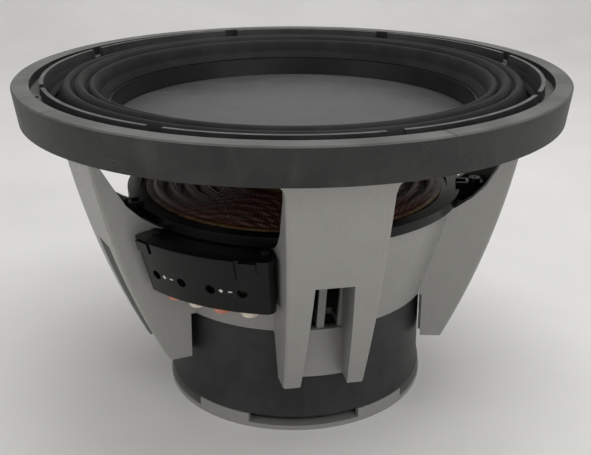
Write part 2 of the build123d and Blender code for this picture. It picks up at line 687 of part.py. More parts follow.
def back_cap():
    """Metal ring under the motor, with five upstanding tabs at its edge."""
    outer = BOOT_RADIUS + 2.2
    inner = outer - 3.4
    top = CAP_TAB_TOP - 0.3
    body = tube(VENT_RADIUS + 8.0, outer, 0.0, CAP_DISC)
    tab = turned_profile([(inner, CAP_DISC), (outer, CAP_DISC), (outer, top), (inner, top)], arc=25.0)
    body += around(tab, SPOKE_COUNT, -6.0)
    counterbore = upright(3.8, -1, 1.8, CAP_SCREW_RADIUS) + upright(2.2, -1, CAP_DISC + 1, CAP_SCREW_RADIUS)
    return body - around(counterbore, SPOKE_COUNT, 0)


def build_moving_assembly():
    """Cone, dust cap and voice coil."""
    save("cone", cone())
    save("dust_cap", dust_cap())
    save("coil_former", tube(FORMER_RADIUS - 0.5, FORMER_RADIUS, COIL_CENTRE - 24.0, 150.0))
    coil_outer = FORMER_RADIUS + COIL_THICKNESS
    save("voice_coil_lower", tube(FORMER_RADIUS, coil_outer, COIL_CENTRE - COIL_HALF_HEIGHT, COIL_CENTRE))
    save("voice_coil_upper", tube(FORMER_RADIUS, coil_outer, COIL_CENTRE, COIL_CENTRE + COIL_HALF_HEIGHT))
    collar = [
        (FORMER_RADIUS, 139.0), (FORMER_RADIUS + 1.2, 139.0), (FORMER_RADIUS + 6.0, 148.8), (FORMER_RADIUS, 147.4)]
    save("neck_collar", turned_profile(collar))


def build_terminals():
    """Terminal block, its buttons, springs, contacts and leads."""
    save("terminal_housing", terminal_housing())
    save("terminal_cover", terminal_cover())
    latches = []
    for side in (-1, 1):
        middle = PLATE_MIDDLE_AZIMUTH + side * LATCH_OFFSET
        latches.append(on_block_front(LATCH_BOTTOM, LATCH_TOP, LATCH_PROUD, LATCH_ANGLE, middle))
    save("terminal_latches", Compound(children=latches))
    save("polarity_marks", Compound(children=polarity_marks()))
    names = ("first_positive", "first_negative", "second_positive", "second_negative")
    for name, azimuth in zip(names, wire_azimuths()):
        save("button_" + name, leaning(push_button(), azimuth))
        save("spring_" + name, leaning(button_spring(), azimuth))
    save("contact_plates", Compound(children=[leaning(contact_plate(), a) for a in wire_azimuths()]))
    save("tinsel_leads", Compound(children=[turned(tinsel_lead(), a) for a in wire_azimuths()]))
    save("lead_wires", Compound(children=[turned(lead_wire(), a) for a in wire_azimuths()]))
    block_screw = screw(
        BLOCK_SCREW_AT, BLOCK_TOP, BLOCK_SCREW_LENGTH, shank=BLOCK_SCREW_SHANK, head=2.6, head_height=1.6)
    save("terminal_screws", Compound(children=[turned(block_screw, a) for a in BLOCK_SCREW_AZIMUTHS]))


build()
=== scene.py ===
import json
import math

import bpy
import numpy as np
from mathutils import Matrix, Vector


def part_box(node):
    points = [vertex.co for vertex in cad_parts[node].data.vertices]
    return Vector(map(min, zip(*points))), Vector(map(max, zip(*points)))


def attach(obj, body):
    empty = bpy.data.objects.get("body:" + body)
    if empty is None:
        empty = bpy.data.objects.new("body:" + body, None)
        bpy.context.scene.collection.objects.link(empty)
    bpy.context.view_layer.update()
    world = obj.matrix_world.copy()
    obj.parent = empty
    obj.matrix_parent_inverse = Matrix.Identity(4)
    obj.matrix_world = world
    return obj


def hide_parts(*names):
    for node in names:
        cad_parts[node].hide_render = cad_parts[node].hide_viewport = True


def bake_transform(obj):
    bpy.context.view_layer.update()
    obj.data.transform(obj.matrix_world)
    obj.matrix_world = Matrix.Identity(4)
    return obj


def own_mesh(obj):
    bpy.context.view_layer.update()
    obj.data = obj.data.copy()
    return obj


# Looks of a 12 inch class car subwoofer speaker. Lengths are in metres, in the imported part's frame:
# +Z along the speaker's axis towards the cone, the terminal block facing -Y.
# An azimuth is measured from -Y towards +X, in degrees, as in the part's own source.

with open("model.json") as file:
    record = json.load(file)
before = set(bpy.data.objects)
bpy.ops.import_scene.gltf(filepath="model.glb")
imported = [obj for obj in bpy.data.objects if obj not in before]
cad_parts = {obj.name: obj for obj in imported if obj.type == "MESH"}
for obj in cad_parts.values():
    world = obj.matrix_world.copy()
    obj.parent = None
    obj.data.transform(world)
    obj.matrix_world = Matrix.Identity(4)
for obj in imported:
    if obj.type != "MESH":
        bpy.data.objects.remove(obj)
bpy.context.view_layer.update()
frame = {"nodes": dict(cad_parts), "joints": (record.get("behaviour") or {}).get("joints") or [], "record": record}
MM = 0.001
NODES = frame["nodes"]
TURN_STEPS = 288            # steps round the axis of a turned piece
VIEW_AZIMUTH = 26.4         # where the camera stands
RIM_JOINTS = (-57.6, -23.7, 53.3)  # azimuths of the faint joints across the rim's top
RIM_JOINT_FADE = (0.0015, 0.0040)  # radians from a joint's middle: where it starts to fade, where it is gone
METAL_GRAIN = 700.0         # scale of the grain in metal
MIX_COLOURS = (6, 7)        # a mix node's colour inputs, which follow those for numbers and vectors
MIX_RESULT = 2              # its colour output

RIM_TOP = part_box("mounting_gasket")[1].z
SURROUND_LOW, SURROUND_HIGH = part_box("surround")
SPIDER_LOW, SPIDER_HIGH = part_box("spider")
CONE_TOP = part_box("cone")[1].z
CONE_EDGE_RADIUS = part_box("cone")[1].x - 0.8 * MM

SPIDER_INNER = 33.5 * MM
SPIDER_FIRST = 37.0 * MM
SPIDER_LAST = 88.5 * MM
SPIDER_OUTER = SPIDER_HIGH.x
SPIDER_LEVEL = (SPIDER_LOW.z + SPIDER_HIGH.z) / 2
SPIDER_HALF_WAVES = 11
SPIDER_WAVE = 2.2 * MM
SPIDER_THICKNESS = 0.7 * MM
SPIDER_STEPS = 150

BUTTONS = ("first_positive", "first_negative", "second_positive", "second_negative")
JOINT_OF = {joint["child"]: joint for joint in frame["joints"]}


# ---------------------------------------------------------------- mesh helpers

def new_object(name, vertices, faces, material):
    """A smooth-shaded mesh object in the frame's own coordinates."""
    mesh = bpy.data.meshes.new(name)
    mesh.from_pydata([tuple(v) for v in vertices], [], faces)
    mesh.polygons.foreach_set("use_smooth", [True] * len(mesh.polygons))
    mesh.materials.append(material)
    mesh.update()
    piece = bpy.data.objects.new(name, mesh)
    bpy.context.scene.collection.objects.link(piece)
    return piece


def around_point(azimuth, radius, height):
    """The point at an azimuth in degrees, a radius and a height."""
    turn = math.radians(azimuth)
    return Vector((math.sin(turn) * radius, -math.cos(turn) * radius, height))


def smooth_line(points, steps):
    """A Catmull-Rom curve through points, with a number of steps between each two."""
    points = np.array(points, float)
    padded = np.vstack([2 * points[0] - points[1], points, 2 * points[-1] - points[-2]])
    out = []
    for i in range(len(points) - 1):
        a, b, c, d = padded[i:i + 4]
        for j in range(steps):
            t = j / steps
            out.append(0.5 * (2 * b + (c - a) * t + (2 * a - 5 * b + 4 * c - d) * t ** 2
                              + (3 * b - a - 3 * c + d) * t ** 3))
    out.append(points[-1])
    return np.array(out)


def thickened(line, thickness):
    """A closed outline of even thickness about an open line of (radius, height) points."""
    along = np.gradient(line, axis=0)
    along /= np.linalg.norm(along, axis=1)[:, None]
    across = np.stack([-along[:, 1], along[:, 0]], axis=1) * thickness / 2
    return np.vstack([line + across, (line - across)[::-1]])


def lathe(name, outline, material):
    """A closed ring: an outline of (radius, height) points turned about the axis."""
    count = len(outline)
    vertices = []
    for i in range(TURN_STEPS):
        azimuth = 360 * i / TURN_STEPS
        vertices += [around_point(azimuth, radius, height) for radius, height in outline]
    faces = []
    for i in range(TURN_STEPS):
        j = (i + 1) % TURN_STEPS
        for k in range(count):
            m = (k + 1) % count
            faces.append((i * count + k, i * count + m, j * count + m, j * count + k))
    return new_object(name, vertices, faces, material)


def tube(name, path, radius, material, sides):
    """A round wire along a path of points, with flat ends."""
    path = [Vector(p) for p in path]
    vertices = []
    faces = []
    side = None
    for i, point in enumerate(path):
        along = (path[min(i + 1, len(path) - 1)] - path[max(i - 1, 0)]).normalized()
        side = side or along.orthogonal()
        side = (side - along * side.dot(along)).normalized()
        up = along.cross(side)
        for k in range(sides):
            turn = 2 * math.pi * k / sides
            vertices.append(point + (side * math.cos(turn) + up * math.sin(turn)) * radius)
    for i in range(len(path) - 1):
        for k in range(sides):
            m = (k + 1) % sides
            faces.append((i * sides + k, i * sides + m, (i + 1) * sides + m, (i + 1) * sides + k))
    faces.append(tuple(reversed(range(sides))))
    faces.append(tuple(range((len(path) - 1) * sides, len(path) * sides)))
    return new_object(name, vertices, faces, material)


def joined(name, pieces):
    """One piece made of several."""
    bpy.ops.object.select_all(action="DESELECT")
    for piece in pieces:
        piece.select_set(True)
    bpy.context.view_layer.objects.active = pieces[0]
    bpy.ops.object.join()
    pieces[0].name = name
    return pieces[0]


def blend_by_radius(piece):
    """Bakes a turned piece's placement into its mesh."""
    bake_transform(piece)


# ---------------------------------------------------------------- material helpers

class Surface:
    """A material being built: its node tree, its shader and a few shorthands."""

    def __init__(self, name, roughness, metallic=0.0, specular=0.5):
        self.material = bpy.data.materials.new(name)
        self.material.use_nodes = True
        self.tree = self.material.node_tree
        self.shader = self.tree.nodes["Principled BSDF"]
        self.shader.inputs["Roughness"].default_value = roughness
        self.shader.inputs["Metallic"].default_value = metallic
        self.shader.inputs["Specular IOR Level"].default_value = specular
        self.coordinates = self.node("ShaderNodeTexCoord").outputs["Object"]
        self.normal = None

    def node(self, kind, **settings):
        made = self.tree.nodes.new(kind)
        for key, value in settings.items():
            setattr(made, key, value)
        return made

    def link(self, source, target):
        self.tree.links.new(source, target)

    def stretched(self, scale):
        """Object coordinates scaled by a number for each axis."""
        mapping = self.node("ShaderNodeMapping")
        mapping.inputs["Scale"].default_value = scale
        self.link(self.coordinates, mapping.inputs["Vector"])
        return mapping.outputs["Vector"]

    def noise(self, scale, detail=4.0, rough=0.55, stretch=None, distortion=0.0):
        """Noise with features about 1/scale metres across."""
        made = self.node("ShaderNodeTexNoise")
        made.inputs["Scale"].default_value = scale
        made.inputs["Detail"].default_value = detail
        made.inputs["Roughness"].default_value = rough
        made.inputs["Distortion"].default_value = distortion
        self.link(self.stretched(stretch) if stretch else self.coordinates, made.inputs["Vector"])
        return made.outputs["Fac"]

    def band(self, value, low, high, out_low=0.0, out_high=1.0):
        """Maps a value from one range to another, smoothly and clamped."""
        made = self.node("ShaderNodeMapRange", interpolation_type="SMOOTHSTEP")
        ends = {"From Min": low, "From Max": high, "To Min": out_low, "To Max": out_high}
        for name, number in ends.items():
            made.inputs[name].default_value = number
        self.link(value, made.inputs["Value"])
        return made.outputs["Result"]

    def maths(self, operation, first, second):
        made = self.node("ShaderNodeMath", operation=operation)
        for socket, value in zip(made.inputs, (first, second)):
            if isinstance(value, (int, float)):
                socket.default_value = value
            else:
                self.link(value, socket)
        return made.outputs["Value"]

    def mix(self, share, first, second):
        """A colour between two: each is an RGB triple or another node's output."""
        made = self.node("ShaderNodeMix", data_type="RGBA")
        self.link(share, made.inputs["Factor"])
        for place, value in zip(MIX_COLOURS, (first, second)):
            socket = made.inputs[place]
            if isinstance(value, tuple):
                socket.default_value = (*value, 1.0)
            else:
                self.link(value, socket)
        return made.outputs[MIX_RESULT]

    def facing_up(self):
        """1 where the surface faces up, 0 where it is upright or faces down."""
        split = self.node("ShaderNodeSeparateXYZ")
        self.link(self.node("ShaderNodeNewGeometry").outputs["Normal"], split.inputs[0])
        return self.band(split.outputs["Z"], 0.25, 0.95)

    def axes(self):
        split = self.node("ShaderNodeSeparateXYZ")
        self.link(self.coordinates, split.inputs[0])
        return split.outputs

    def radius(self):
        """Distance from the speaker's axis."""
        x, y, _ = self.axes()
        x_squared = self.maths("MULTIPLY", x, x)
        y_squared = self.maths("MULTIPLY", y, y)
        return self.maths("SQRT", self.maths("ADD", x_squared, y_squared), 0)

    def azimuth(self):
        """Angle about the speaker's axis, in radians."""
        x, y, _ = self.axes()
        return self.maths("ARCTAN2", y, x)

    def bump(self, height, distance, strength=1.0):
        """Adds a height map, in metres, on top of earlier ones."""
        made = self.node("ShaderNodeBump")
        made.inputs["Distance"].default_value = distance
        made.inputs["Strength"].default_value = strength
        self.link(height, made.inputs["Height"])
        if self.normal:
            self.link(self.normal, made.inputs["Normal"])
        self.normal = made.outputs["Normal"]

    def finish(self, colour, roughness=None):
        self.link(colour, self.shader.inputs["Base Color"])
        if roughness:
            self.link(roughness, self.shader.inputs["Roughness"])
        if self.normal:
            self.link(self.normal, self.shader.inputs["Normal"])
        return self.material

    def scratches(self, scale, amount):
        """A sparse mask of thin scratches that run several ways."""
        total = None
        for turn in (0.3, 1.4, 2.5):
            mapping = self.node("ShaderNodeMapping")
            mapping.inputs["Rotation"].default_value = (turn, turn * 0.7, turn * 1.9)
            mapping.inputs["Scale"].default_value = (1.0, 26.0, 26.0)
            self.link(self.coordinates, mapping.inputs["Vector"])
            lines = self.node("ShaderNodeTexNoise")
            lines.inputs["Scale"].default_value = scale
            lines.inputs["Detail"].default_value = 1.0
            self.link(mapping.outputs["Vector"], lines.inputs["Vector"])
            mask = self.band(lines.outputs["Fac"], 0.70 - amount, 0.76 - amount)
            total = self.maths("MAXIMUM", total, mask) if total else mask
        patches = self.band(self.noise(38.0, 2.0), 0.55, 0.68)
        return self.maths("MULTIPLY", total, patches)


# ---------------------------------------------------------------- materials

def cast_frame_paint():
    """Silver-grey satin coating over a cast surface, with fine grain and faint rubs."""
    paint = Surface("cast_frame_paint", 0.42, metallic=0.30, specular=0.45)
    cloud = paint.band(paint.noise(55.0, 5.0), 0.3, 0.7)
    speck = paint.band(paint.noise(2300.0, 2.0, 0.8), 0.35, 0.65)
    colour = paint.mix(cloud, (0.262, 0.260, 0.246), (0.276, 0.274, 0.259))
    colour = paint.mix(paint.maths("MULTIPLY", speck, 0.45), colour, (0.40, 0.396, 0.376))
    rubs = paint.maths("MULTIPLY", paint.scratches(60.0, 0.0), 0.55)
    colour = paint.mix(rubs, colour, (0.16, 0.16, 0.155))
    paint.bump(paint.noise(1900.0, 3.0, 0.8), 0.00010, 0.6)
    paint.bump(paint.noise(240.0, 3.0), 0.00010, 0.25)
    return paint.finish(colour, paint.band(paint.noise(420.0, 4.0), 0.3, 0.7, 0.36, 0.52))


def rim_rubber():
    """Dark grey moulded rubber: chalky, its top paler from painted light, with pale scuffs and handling marks on
    its wall.
    """
    rubber = Surface("rim_rubber", 0.6, specular=0.35)
    cloud = rubber.band(rubber.noise(26.0, 6.0, 0.62), 0.35, 0.7)
    colour = rubber.mix(cloud, (0.015, 0.0155, 0.0155), (0.029, 0.0295, 0.029))
    chalk = rubber.band(rubber.noise(70.0, 6.0, 0.65, stretch=(1.0, 1.0, 0.35)), 0.50, 0.80)
    colour = rubber.mix(rubber.maths("MULTIPLY", chalk, 0.40), colour, (0.085, 0.085, 0.082))
    scuff = rubber.scratches(30.0, 0.03)
    colour = rubber.mix(rubber.maths("MULTIPLY", scuff, 0.22), colour, (0.15, 0.15, 0.146))
    # painted light: faces that point up are made paler, in noise patches, as if lit from above
    upward = rubber.facing_up()
    painted_top_light = rubber.band(rubber.noise(34.0, 5.0, 0.6), 0.2, 0.8, 0.45, 1.0)
    colour = rubber.mix(rubber.maths("MULTIPLY", upward, painted_top_light), colour, (0.150, 0.150, 0.144))
    for joint in RIM_JOINTS:
        turned = rubber.maths("SUBTRACT", rubber.azimuth(), math.radians(joint - 90))
        mark = rubber.band(rubber.maths("ABSOLUTE", turned, 0), *RIM_JOINT_FADE, 1.0, 0.0)
        line = rubber.maths("MULTIPLY", mark, upward)
        colour = rubber.mix(line, colour, (0.012, 0.012, 0.012))
    rubber.bump(rubber.noise(900.0, 3.0, 0.7), 0.00010, 0.6)
    rubber.bump(rubber.noise(95.0, 3.0), 0.0003, 0.25)
    return rubber.finish(colour, rubber.band(chalk, 0.0, 1.0, 0.50, 0.72))


def clamp_plastic():
    """Black moulded plastic with a lip made paler by painted light on its upward faces."""
    plastic = Surface("clamp_plastic", 0.5, specular=0.4)
    cloud = plastic.band(plastic.noise(60.0, 5.0), 0.35, 0.7)
    colour = plastic.mix(cloud, (0.018, 0.0185, 0.019), (0.032, 0.033, 0.033))
    # painted light: the lip's upward faces are made paler, in noise patches, as if lit from above
    wear_and_painted_light = plastic.band(plastic.noise(90.0, 4.0), 0.3, 0.8, 0.4, 0.95)
    painted_light_lip = plastic.maths("MULTIPLY", plastic.facing_up(), wear_and_painted_light)
    colour = plastic.mix(painted_light_lip, colour, (0.135, 0.135, 0.130))
    plastic.bump(plastic.noise(800.0, 2.0), 0.00006, 0.5)
    return plastic.finish(colour)


def surround_rubber():
    """Smooth black rubber with a soft sheen and a little dust in its grooves."""
    rubber = Surface("surround_rubber", 0.60, specular=0.14)
    cloud = rubber.band(rubber.noise(45.0, 5.0), 0.3, 0.75)
    colour = rubber.mix(cloud, (0.011, 0.0115, 0.0115), (0.019, 0.0195, 0.0195))
    dust = rubber.band(rubber.noise(160.0, 5.0, 0.7), 0.58, 0.80)
    colour = rubber.mix(rubber.maths("MULTIPLY", dust, 0.30), colour, (0.075, 0.075, 0.071))
    rubber.bump(rubber.noise(700.0, 3.0), 0.00006, 0.5)
    return rubber.finish(colour, rubber.band(dust, 0.0, 1.0, 0.54, 0.68))


def spider_cloth():
    """Copper-brown woven cloth stiffened with resin: fine crossing threads over the corrugations, with painted
    glints at some crossings.
    """
    cloth = Surface("spider_cloth", 0.40, specular=0.50)
    threads = []
    for direction in ("X", "Y"):
        wave = cloth.node("ShaderNodeTexWave", wave_type="BANDS", bands_direction=direction)
        wave.inputs["Scale"].default_value = 165.0
        wave.inputs["Distortion"].default_value = 1.2
        wave.inputs["Detail"].default_value = 1.0
        cloth.link(cloth.coordinates, wave.inputs["Vector"])
        threads.append(wave.outputs["Fac"])
    weave = cloth.maths("MULTIPLY", cloth.maths("ADD", threads[0], threads[1]), 0.5)
    patch = cloth.band(cloth.noise(70.0, 4.0), 0.3, 0.7)
    colour = cloth.mix(cloth.band(weave, 0.30, 0.85), (0.006, 0.0018, 0.001), (0.150, 0.046, 0.024))
    colour = cloth.mix(cloth.maths("MULTIPLY", patch, 0.5), colour, (0.042, 0.013, 0.007))
    # painted highlights: pale copper glints at some thread crossings stand in for light catching the threads
    crossing = cloth.band(weave, 0.80, 0.97)
    painted_glint = cloth.maths("MULTIPLY", crossing, cloth.band(cloth.noise(480.0, 2.0), 0.55, 0.70))
    colour = cloth.mix(painted_glint, colour, (0.42, 0.24, 0.13))
    resin = cloth.band(cloth.radius(), SPIDER_LAST + 1.6 * MM, SPIDER_LAST + 2.4 * MM)
    patchy = cloth.band(cloth.noise(190.0, 3.0), 0.35, 0.60, 0.25, 0.90)
    colour = cloth.mix(cloth.maths("MULTIPLY", resin, patchy), colour, (0.26, 0.150, 0.060))
    cloth.bump(weave, 0.00035, 0.9)
    return cloth.finish(colour)


def cap_grey():
    """Slate-grey satin moulding with faint hand smudges."""
    cap = Surface("cap_grey", 0.40, specular=0.5)
    smudge = cap.band(cap.noise(16.0, 5.0, 0.6, distortion=0.6), 0.35, 0.75)
    colour = cap.mix(smudge, (0.058, 0.060, 0.062), (0.071, 0.073, 0.075))
    cap.bump(cap.noise(1500.0, 2.0), 0.00004, 0.35)
    return cap.finish(colour, cap.band(smudge, 0.0, 1.0, 0.36, 0.50))


def cone_black():
    """Near-black moulded cone."""
    cone = Surface("cone_black", 0.42, specular=0.45)
    cloud = cone.band(cone.noise(50.0, 4.0), 0.3, 0.7)
    colour = cone.mix(cloud, (0.006, 0.0065, 0.0065), (0.011, 0.0115, 0.0115))
    cone.bump(cone.noise(900.0, 2.0), 0.00005, 0.4)
    return cone.finish(colour)


def boot_rubber():
    """Black rubber boot, dusty, with faint upright handling streaks."""
    boot = Surface("boot_rubber", 0.55, specular=0.35)
    cloud = boot.band(boot.noise(40.0, 6.0, 0.6), 0.35, 0.7)
    colour = boot.mix(cloud, (0.014, 0.0145, 0.015), (0.026, 0.027, 0.027))
    dust = boot.band(boot.noise(300.0, 6.0, 0.75), 0.55, 0.82)
    colour = boot.mix(boot.maths("MULTIPLY", dust, 0.35), colour, (0.085, 0.085, 0.082))
    streak = boot.band(boot.noise(55.0, 3.0, 0.5, stretch=(1.0, 1.0, 0.18)), 0.56, 0.78)
    colour = boot.mix(boot.maths("MULTIPLY", streak, 0.30), colour, (0.065, 0.065, 0.062))
    boot.bump(boot.noise(1100.0, 3.0), 0.00008, 0.5)
    return boot.finish(colour, boot.band(dust, 0.0, 1.0, 0.48, 0.66))


def black_plastic():
    """Glossy moulded black plastic with a fine texture."""
    plastic = Surface("black_plastic", 0.24, specular=0.20)
    cloud = plastic.band(plastic.noise(130.0, 4.0), 0.3, 0.7)
    colour = plastic.mix(cloud, (0.0035, 0.0035, 0.0035), (0.006, 0.006, 0.006))
    dust = plastic.band(plastic.noise(420.0, 5.0, 0.7), 0.62, 0.84)
    colour = plastic.mix(plastic.maths("MULTIPLY", dust, 0.10), colour, (0.06, 0.06, 0.058))
    plastic.bump(plastic.noise(1300.0, 2.0), 0.00003, 0.4)
    return plastic.finish(colour)


def metal(name, dark, light, roughness, metallic=1.0):
    """Metal with a fine grain and uneven tarnish."""
    made = Surface(name, roughness, metallic=metallic)
    tarnish = made.band(made.noise(METAL_GRAIN / 6, 5.0, 0.6), 0.3, 0.75)
    colour = made.mix(tarnish, dark, light)
    made.bump(made.noise(METAL_GRAIN, 2.0), 0.00005, 0.4)
    return made.finish(colour, made.band(tarnish, 0.0, 1.0, roughness * 1.25, roughness * 0.8))


def button_plastic(name, dark, light):
    """Glossy coloured plastic with slight mottling."""
    made = Surface(name, 0.28, specular=0.5)
    cloud = made.band(made.noise(210.0, 4.0), 0.3, 0.7)
    made.bump(made.noise(900.0, 2.0), 0.00004, 0.3)
    return made.finish(made.mix(cloud, dark, light))


def printed_white():
    """White print, slightly worn."""
    made = Surface("printed_white", 0.5)
    wear_and_painted_light = made.band(made.noise(900.0, 3.0), 0.35, 0.6)
    return made.finish(made.mix(wear_and_painted_light, (0.42, 0.42, 0.41), (0.74, 0.74, 0.72)))


def ferrite_black():
    """Sintered ferrite: dark, matte and finely pitted."""
    made = Surface("ferrite", 0.65, specular=0.3)
    pits = made.band(made.noise(800.0, 5.0, 0.7), 0.4, 0.65)
    made.bump(pits, 0.0001, 0.5)
    return made.finish(made.mix(pits, (0.020, 0.020, 0.021), (0.045, 0.045, 0.047)))


def former_film():
    """Amber polyimide film over paper."""
    made = Surface("former_film", 0.35, specular=0.5)
    cloud = made.band(made.noise(90.0, 4.0), 0.3, 0.7)
    made.bump(made.noise(500.0, 2.0), 0.00006, 0.4)
    return made.finish(made.mix(cloud, (0.050, 0.026, 0.010), (0.090, 0.050, 0.020)))


def wound_copper():
    """Enamelled wire wound in fine turns, with painted shade between the turns and painted highlights on their
    crowns.
    """
    made = Surface("wound_copper", 0.3, metallic=1.0)
    wave = made.node("ShaderNodeTexWave", wave_type="BANDS", bands_direction="Z")
    wave.inputs["Scale"].default_value = 420.0
    made.link(made.coordinates, wave.inputs["Vector"])
    made.bump(wave.outputs["Fac"], 0.00025)
    # painted shade and highlight: the colour follows the bands, dark copper in the grooves between turns and
    # bright copper on their crowns
    return made.finish(made.mix(wave.outputs["Fac"], (0.22, 0.07, 0.03), (0.62, 0.25, 0.12)))


def floor_paper():
    """Plain pale floor."""
    made = Surface("floor_paper", 0.75, specular=0.2)
    cloud = made.band(made.noise(6.0, 5.0), 0.3, 0.7)
    return made.finish(made.mix(cloud, (0.80, 0.795, 0.78), (0.85, 0.845, 0.83)))


# ---------------------------------------------------------------- soft and detailed pieces

ROLL_EDGES = (              # radius and depth below the rim's top of the grooves beside the rolls
    (139.4 * MM, 8.0 * MM),
    (131.2 * MM, 5.0 * MM),
    (123.2 * MM, 6.0 * MM),
    (115.6 * MM, 11.0 * MM),
)
ROLL_CRESTS = (1.4 * MM, 0.8 * MM, 3.0 * MM)  # depth of each roll's top below the rim's top
ROLL_FULLNESS = 0.75        # power of the sine that shapes a roll: a lower one makes it fuller
ROLL_STEPS = 16
SURROUND_SKIN = 1.0 * MM
VALLEY_EDGE = 142.9 * MM    # where the flat land ends and the valley's wall begins
WALL_STEPS = 6


def surround_line():
    """The surround seen from the side: a concave outer wall, then three rolls parted by thin grooves."""
    land = SURROUND_LOW.z + 0.6 * MM
    first_radius, first_depth = ROLL_EDGES[0]
    last_radius, last_depth = ROLL_EDGES[-1]
    wall = smooth_line([
        (SURROUND_HIGH.x - 0.4 * MM, land),
        (144.6 * MM, land),
        (VALLEY_EDGE, land + 0.2 * MM),
        (141.2 * MM, land + 1.6 * MM),
        (140.1 * MM, land + 3.8 * MM),
        (first_radius, RIM_TOP - first_depth),
    ], WALL_STEPS)
    line = [tuple(point) for point in wall[:-1]]
    rolls = zip(ROLL_EDGES, ROLL_EDGES[1:], ROLL_CRESTS)
    for (outer, outer_depth), (inner, inner_depth), crest in rolls:
        rise = (outer_depth + inner_depth) / 2 - crest
        for i in range(ROLL_STEPS):
            share = i / ROLL_STEPS
            bulge = rise * math.sin(math.pi * share) ** ROLL_FULLNESS
            depth = outer_depth + (inner_depth - outer_depth) * share - bulge
            line.append((outer + (inner - outer) * share, RIM_TOP - depth))
    line.append((last_radius, RIM_TOP - last_depth))
    line.append((CONE_EDGE_RADIUS, CONE_TOP + 0.9 * MM))
    return np.array(line)


def make_surround(material):
    """Rubber edge: land, deep outer valley and three rolls that step down to the cone."""
    upper = surround_line()
    lower = (upper - np.array([0.0, SURROUND_SKIN]))[::-1]
    piece = lathe("surround_rolls", np.vstack([upper, lower]), material)
    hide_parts("surround")
    blend_by_radius(piece)


def spider_height(radius):
    """Height of the spider's cloth at a radius: eleven half waves between two flat lands."""
    share = min(max((radius - SPIDER_FIRST) / (SPIDER_LAST - SPIDER_FIRST), 0.0), 1.0)
    return SPIDER_LEVEL + SPIDER_WAVE * math.sin(math.pi * SPIDER_HALF_WAVES * share)


def make_spider(material):
    """Corrugated cloth between the former and its ring."""
    radii = np.linspace(SPIDER_INNER, SPIDER_OUTER, SPIDER_STEPS)
    line = np.array([(r, spider_height(r)) for r in radii])
    piece = lathe("spider_cloth", thickened(line, SPIDER_THICKNESS), material)
    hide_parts("spider")
    blend_by_radius(piece)


LEAD_STRANDS = 3
LEAD_STRAND_RADIUS = 0.34 * MM
LEAD_BRAID = 1.5 * MM       # length along the lead for each radian of the strands' swing
LEAD_SWING = 0.8 * MM       # how far a strand swings aside
LEAD_DROP = 1.3 * MM        # the lead's depth under the middle of the cloth
LEAD_CROSSING = 0.22 * MM   # how far the strands rise and fall as they cross
LEAD_STEPS = 170


def lead_azimuths():
    """Azimuths of the four terminals, from the buttons' places."""
    out = []
    for name in BUTTONS:
        low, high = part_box("button_" + name)
        middle = (low + high) / 2
        out.append(math.degrees(math.atan2(middle.x, -middle.y)))
    return out


def make_tinsel_leads(material):
    """Four flat braided leads along the spider's underside, each of three crossing strands."""
    radii = np.linspace(SPIDER_INNER + 0.4 * MM, SPIDER_LAST + 0.3 * MM, LEAD_STEPS)
    pieces = []
    for azimuth in lead_azimuths():
        for k in range(LEAD_STRANDS):
            path = []
            for radius in radii:
                phase = radius / LEAD_BRAID + 2 * math.pi * k / LEAD_STRANDS
                aside = math.degrees(LEAD_SWING * math.sin(phase) / radius)
                drop = LEAD_DROP + LEAD_CROSSING * math.sin(2 * phase)
                path.append(around_point(azimuth + aside, radius, spider_height(radius) - drop))
            pieces.append(tube("strand", path, LEAD_STRAND_RADIUS, material, sides=6))
    piece = joined("braided_leads", pieces)
    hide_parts("tinsel_leads")
    blend_by_radius(piece)


SPRING_TURNS = 5
SPRING_TURN_STEPS = 24
SPRING_RADIUS = 3.0 * MM    # to the middle of the wire
SPRING_WIRE_RADIUS = 0.35 * MM
SPRING_END_GAP = 0.4 * MM   # from the wire's end to the end of the node that it replaces


def make_button_springs(material):
    """A coil spring behind each button."""
    for name in BUTTONS:
        node = NODES["spring_" + name]
        axis = Vector(JOINT_OF["button_" + name]["axis"]).normalized()
        place = np.array([v.co for v in node.data.vertices], float)
        middle = Vector(place.mean(axis=0))
        along = (place - np.array(middle)) @ np.array(axis)
        half = (along.max() - along.min()) / 2 - SPRING_END_GAP
        steps = SPRING_TURNS * SPRING_TURN_STEPS
        side = axis.orthogonal().normalized()
        up = axis.cross(side)
        path = []
        for i in range(steps + 1):
            turn = 2 * math.pi * SPRING_TURNS * i / steps
            coil = side * math.cos(turn) + up * math.sin(turn)
            path.append(middle + coil * SPRING_RADIUS + axis * (half * (2 * i / steps - 1)))
        piece = tube("coil_spring_" + name, path, SPRING_WIRE_RADIUS, material, sides=8)
        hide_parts("spring_" + name)
        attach(piece, "frame")
        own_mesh(piece)


def give_materials(materials):
    """Assigns each carried-over CAD node its material, by its slot in the record."""
    slot_of = {row["node"]: row["material_slot"] for row in frame["record"]["subparts"]}
    for name, node in NODES.items():
        node.data.materials.clear()
        node.data.materials.append(materials[slot_of[name]])


# ---------------------------------------------------------------- camera, lights and floor

CAMERA_SENSOR = 36.0        # millimetres
CAMERA_LENS = 54.79         # millimetres
CAMERA_SHIFT = -0.0387      # share of the frame's width
CAMERA_DISTANCE = 0.5451    # from the speaker's axis
CAMERA_HEIGHT = 0.3144
CAMERA_PITCH = 0.3772       # radians, downwards
CAMERA_YAW = 0.0281         # radians, past the axis
CAMERA_ROLL = 0.0056        # radians


